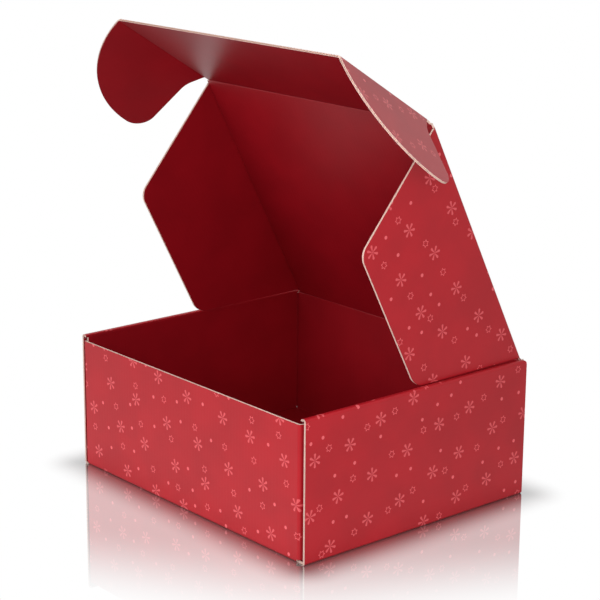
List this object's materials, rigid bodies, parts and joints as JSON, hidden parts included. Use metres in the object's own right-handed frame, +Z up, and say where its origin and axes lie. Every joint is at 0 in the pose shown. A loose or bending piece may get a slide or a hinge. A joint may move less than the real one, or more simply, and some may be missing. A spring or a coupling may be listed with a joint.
{
  "type": "corrugated mailer box",
  "caption": "Folded corrugated mailer box with rolled double side walls, a hinged lid with side flaps, and a tuck flap with two ears.",
  "frame": {"origin": "centre of the base's underside, on the surface the box stands on", "axes": "+Z up, -Y towards the front panel that the tuck flap closes behind, +X to the right side wall"},
  "size_m": [0.3278, 0.205, 0.3278],
  "materials": {
    "printed_board": "satin"
  },
  "bodies": {
    "tray": {"tray": "printed_board"},
    "lid": {"lid": "printed_board"},
    "lid_flap_left": {"lid_flap_left": "printed_board"},
    "lid_flap_right": {"lid_flap_right": "printed_board"},
    "tuck_flap": {"tuck_flap": "printed_board"},
    "tuck_ear_left": {"tuck_ear_left": "printed_board"},
    "tuck_ear_right": {"tuck_ear_right": "printed_board"}
  },
  "joints": [
    {"name": "lid_hinge", "type": "hinge", "parent": "tray", "child": "lid", "pos_m": [0, 0.10175, 0.09855], "axis": [-1, 0, 0], "range_deg": [-62.6, 117.4]},
    {"name": "lid_flap_left_fold", "type": "hinge", "parent": "lid", "child": "lid_flap_left", "pos_m": [-0.1191, 0.10175, 0.09855], "axis": [0, 0.4602, -0.8878], "range_deg": [0, 90]},
    {"name": "lid_flap_right_fold", "type": "hinge", "parent": "lid", "child": "lid_flap_right", "pos_m": [0.1191, 0.10175, 0.09855], "axis": [0, -0.4602, 0.8878], "range_deg": [0, 90]},
    {"name": "tuck_fold", "type": "hinge", "parent": "lid", "child": "tuck_flap", "pos_m": [0, 0.00902, 0.27744], "axis": [-1, 0, 0], "range_deg": [-59.3, 30.7]},
    {"name": "tuck_ear_left_fold", "type": "hinge", "parent": "tuck_flap", "child": "tuck_ear_left", "pos_m": [-0.1169, 0.00902, 0.27744], "axis": [0, 0.849, -0.5284], "range_deg": [-40, 50]},
    {"name": "tuck_ear_right_fold", "type": "hinge", "parent": "tuck_flap", "child": "tuck_ear_right", "pos_m": [0.1169, 0.00902, 0.27744], "axis": [0, -0.849, 0.5284], "range_deg": [-50, 40]}
  ]
}
